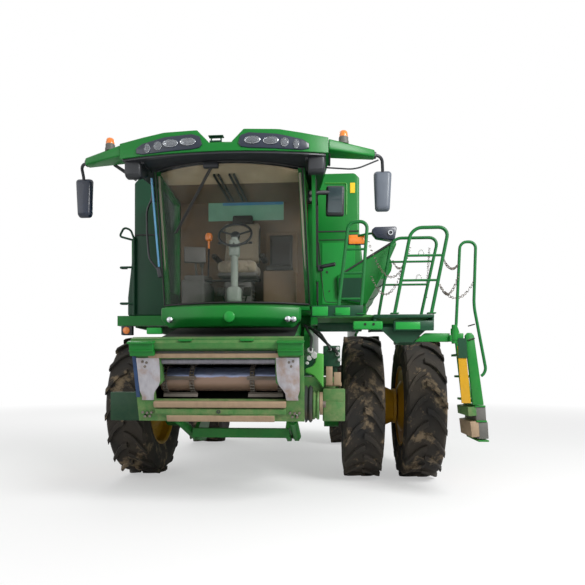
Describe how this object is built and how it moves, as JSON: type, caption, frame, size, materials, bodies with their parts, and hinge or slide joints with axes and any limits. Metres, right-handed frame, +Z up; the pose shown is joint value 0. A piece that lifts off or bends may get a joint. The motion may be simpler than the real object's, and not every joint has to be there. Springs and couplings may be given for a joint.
{
  "type": "combine harvester",
  "caption": "Self-propelled combine harvester without a header, with a feeder house, glazed cab, boarding ladder, grain tank and unloading auger.",
  "frame": {"origin": "centre of the overall bounding box, on the ground", "axes": "+X to the machine's left, +Y to its rear, +Z up; the machine drives towards -Y"},
  "size_m": [4.563, 8.9267, 3.98],
  "materials": {
    "green_paint": "gloss",
    "yellow_paint": "gloss",
    "tyre": "matte",
    "dark_steel": "satin",
    "cast_iron": "matte",
    "tinted_glass": "gloss",
    "lamp_glass": "gloss",
    "amber_plastic": "gloss",
    "black_plastic": "satin",
    "seat_cloth": "matte",
    "worn_steel": "worn",
    "chrome_rod": "polished"
  },
  "bodies": {
    "chassis": {"front_axle": "green_paint", "lift_pins": "dark_steel", "main_frame": "green_paint", "rear_axle": "green_paint", "separator_body": "green_paint", "grain_tank": "green_paint", "fascia": "green_paint", "front_ledge": "green_paint", "engine_hood": "green_paint", "engine_block": "cast_iron", "exhaust_stack": "dark_steel", "rear_hood": "green_paint", "straw_chopper": "green_paint", "windshield": "tinted_glass", "cab_frame": "green_paint", "cab_windows": "tinted_glass", "cab_roof": "green_paint", "work_lamps": "lamp_glass", "roof_wings": "green_paint", "amber_lamps": "amber_plastic", "mirrors": "black_plastic", "cab_nose": "green_paint", "operator_seat": "seat_cloth", "steering_column": "black_plastic", "control_console": "black_plastic", "platform_deck": "green_paint", "hand_rails": "green_paint", "side_rungs": "green_paint", "auger_boot": "green_paint"},
    "front_right_wheel": {"tyre_front_right": "tyre", "rim_front_right": "yellow_paint"},
    "front_left_twin_wheel": {"tyres_front_left": "tyre", "rims_front_left": "yellow_paint"},
    "rear_left_wheel": {"tyre_rear_left": "tyre", "rim_rear_left": "yellow_paint"},
    "rear_right_wheel": {"tyre_rear_right": "tyre", "rim_rear_right": "yellow_paint"},
    "left_knuckle": {"knuckle_left": "green_paint"},
    "right_knuckle": {"knuckle_right": "green_paint"},
    "track_rod": {"tie_rod": "dark_steel"},
    "feeder": {"feeder_house": "green_paint", "feeder_face": "worn_steel", "feeder_conveyor": "worn_steel", "feeder_drive": "green_paint"},
    "left_lift_barrel": {"lift_barrel_left": "green_paint"},
    "right_lift_barrel": {"lift_barrel_right": "green_paint"},
    "left_lift_rod": {"lift_rod_left": "chrome_rod"},
    "right_lift_rod": {"lift_rod_right": "chrome_rod"},
    "door": {"cab_door": "green_paint", "door_glass": "tinted_glass"},
    "ladder": {"boarding_ladder": "green_paint", "ladder_handrail": "green_paint"},
    "auger": {"unloading_auger": "green_paint"},
    "left_cover": {"tank_cover_left": "green_paint"},
    "right_cover": {"tank_cover_right": "green_paint"},
    "left_shield": {"side_shield_left": "green_paint"},
    "right_shield": {"side_shield_right": "green_paint"}
  },
  "joints": [
    {"name": "front_right_wheel_spin", "type": "hinge", "parent": "chassis", "child": "front_right_wheel", "pos_m": [-2.0175, -1.911, 0.975], "axis": [1, 0, 0], "continuous": true},
    {"name": "front_left_wheels_spin", "type": "hinge", "parent": "chassis", "child": "front_left_twin_wheel", "pos_m": [1.4115, -1.911, 0.975], "axis": [1, 0, 0], "continuous": true},
    {"name": "left_steer", "type": "hinge", "parent": "chassis", "child": "left_knuckle", "pos_m": [0.4865, 1.689, 0.8], "axis": [0, 0, 1], "range_deg": [-25, 25]},
    {"name": "right_steer", "type": "hinge", "parent": "chassis", "child": "right_knuckle", "pos_m": [-1.4735, 1.689, 0.8], "axis": [0, 0, 1], "range_deg": [-25, 25]},
    {"name": "track_rod_turn", "type": "hinge", "parent": "left_knuckle", "child": "track_rod", "pos_m": [0.4265, 2.019, 0.773], "axis": [0, 0, 1], "range_deg": [-25, 25]},
    {"name": "rear_left_wheel_spin", "type": "hinge", "parent": "left_knuckle", "child": "rear_left_wheel", "pos_m": [0.9365, 1.689, 0.8], "axis": [1, 0, 0], "continuous": true},
    {"name": "rear_right_wheel_spin", "type": "hinge", "parent": "right_knuckle", "child": "rear_right_wheel", "pos_m": [-1.9235, 1.689, 0.8], "axis": [1, 0, 0], "continuous": true},
    {"name": "feeder_lift", "type": "hinge", "parent": "chassis", "child": "feeder", "pos_m": [-0.4935, -2.711, 1.832], "axis": [-1, 0, 0], "range_deg": [-22, 1.5]},
    {"name": "left_barrel_swing", "type": "hinge", "parent": "chassis", "child": "left_lift_barrel", "pos_m": [0.1715, -2.531, 0.6], "axis": [-1, 0, 0], "range_deg": [-14.04, 1]},
    {"name": "right_barrel_swing", "type": "hinge", "parent": "chassis", "child": "right_lift_barrel", "pos_m": [-1.1585, -2.531, 0.6], "axis": [-1, 0, 0], "range_deg": [-14.04, 1]},
    {"name": "left_rod_stroke", "type": "slide", "parent": "left_lift_barrel", "child": "left_lift_rod", "axis": [0, -0.9436, 0.3311], "range_m": [-0.4467, 0.0314]},
    {"name": "right_rod_stroke", "type": "slide", "parent": "right_lift_barrel", "child": "right_lift_rod", "axis": [0, -0.9436, 0.3311], "range_m": [-0.4467, 0.0314]},
    {"name": "auger_swing", "type": "hinge", "parent": "chassis", "child": "auger", "pos_m": [1.3065, -1.791, 3.01], "axis": [0, 0, -1], "range_deg": [0, 100]},
    {"name": "door_swing", "type": "hinge", "parent": "chassis", "child": "door", "pos_m": [0.4405, -2.685, 2.9], "axis": [0, 0, 1], "range_deg": [0, 80]},
    {"name": "ladder_swing", "type": "hinge", "parent": "chassis", "child": "ladder", "pos_m": [1.9265, -3.671, 1.85], "axis": [0, 0, 1], "range_deg": [0, 90]},
    {"name": "left_cover_lift", "type": "hinge", "parent": "chassis", "child": "left_cover", "pos_m": [0.9265, -1.351, 3.802], "axis": [0, 1, 0], "range_deg": [0, 105]},
    {"name": "right_cover_lift", "type": "hinge", "parent": "chassis", "child": "right_cover", "pos_m": [-1.9135, -1.351, 3.802], "axis": [0, -1, 0], "range_deg": [0, 105]},
    {"name": "left_shield_lift", "type": "hinge", "parent": "chassis", "child": "left_shield", "pos_m": [1.0065, 0.589, 2.73], "axis": [0, -1, 0], "range_deg": [0, 70]},
    {"name": "right_shield_lift", "type": "hinge", "parent": "chassis", "child": "right_shield", "pos_m": [-1.9935, 0.089, 3.18], "axis": [0, 1, 0], "range_deg": [0, 70]}
  ],
  "couplings": [
    {"joint": "right_steer", "follows": "left_steer", "ratio": 1},
    {"joint": "track_rod_turn", "follows": "left_steer", "ratio": -1},
    {"joint": "left_barrel_swing", "follows": "feeder_lift", "ratio": 0.6357},
    {"joint": "right_barrel_swing", "follows": "feeder_lift", "ratio": 0.6357},
    {"joint": "left_rod_stroke", "follows": "feeder_lift", "m_per_rad": 1.1607},
    {"joint": "right_rod_stroke", "follows": "feeder_lift", "m_per_rad": 1.1607}
  ]
}
